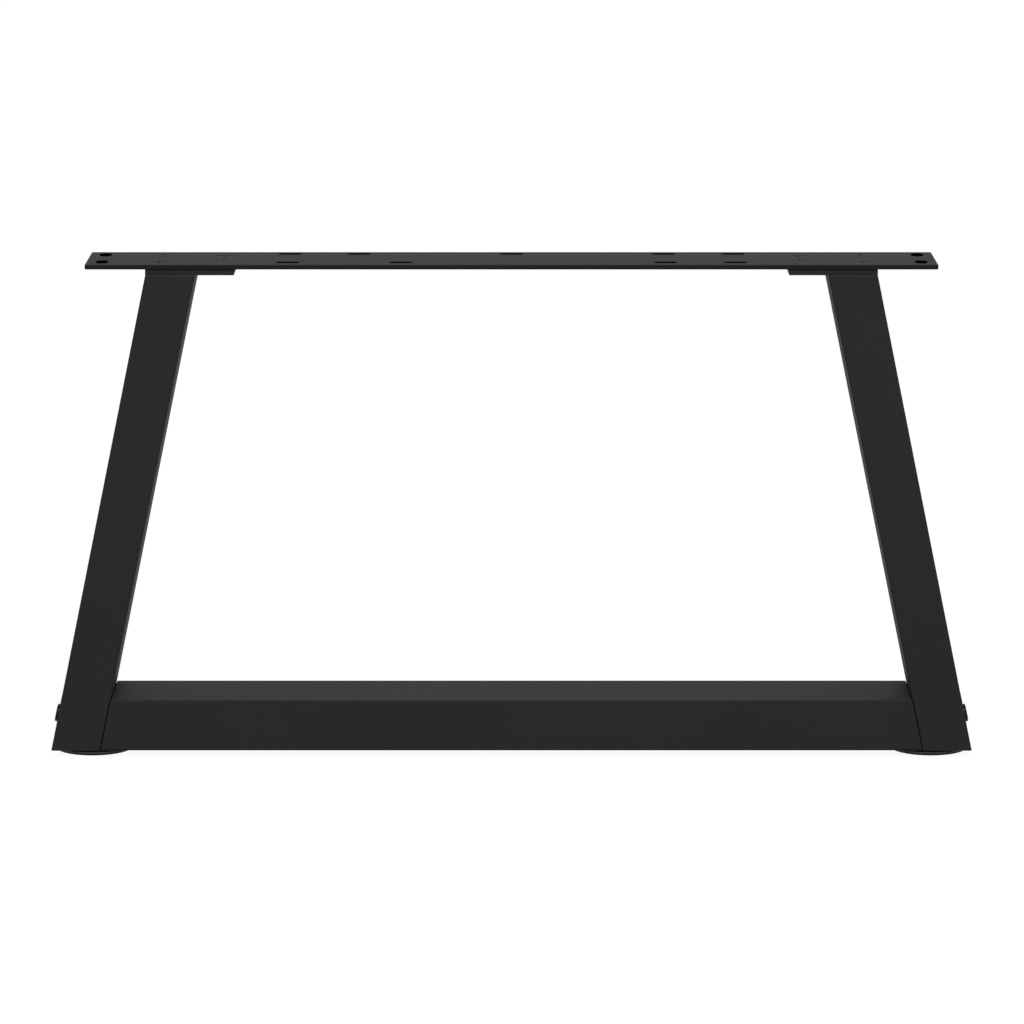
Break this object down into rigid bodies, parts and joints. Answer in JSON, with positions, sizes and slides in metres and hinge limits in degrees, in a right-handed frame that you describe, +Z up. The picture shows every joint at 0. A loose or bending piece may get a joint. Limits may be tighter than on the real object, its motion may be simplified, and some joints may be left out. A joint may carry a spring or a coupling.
{
  "type": "table leg",
  "caption": "Trapezoid steel table leg: slotted top plate on leaning rectangular tubes, a bolted crossbar near the floor and round foot pads.",
  "frame": {"origin": "on the floor, midway between the feet and between the front and the back", "axes": "+X along the plate to the right seen from the front, +Y to the back, +Z up"},
  "size_m": [0.767, 0.08, 0.414],
  "materials": {
    "powder_coat": "satin black powder coat",
    "black_fastener": "glossy black zinc",
    "screw_black": "satin black oxide",
    "pad_plastic": "smooth black plastic"
  },
  "bodies": {
    "root": {"top_plate": "powder_coat", "crossbar": "powder_coat", "flange_screws": "screw_black", "crossbar_bolts": "black_fastener", "foot_screws": "screw_black", "left_flange": "powder_coat", "left_upright": "powder_coat", "left_base_plate": "powder_coat", "left_end_plate": "powder_coat", "left_foot": "pad_plastic", "right_flange": "powder_coat", "right_upright": "powder_coat", "right_base_plate": "powder_coat", "right_end_plate": "powder_coat", "right_foot": "pad_plastic"}
  },
  "joints": []
}
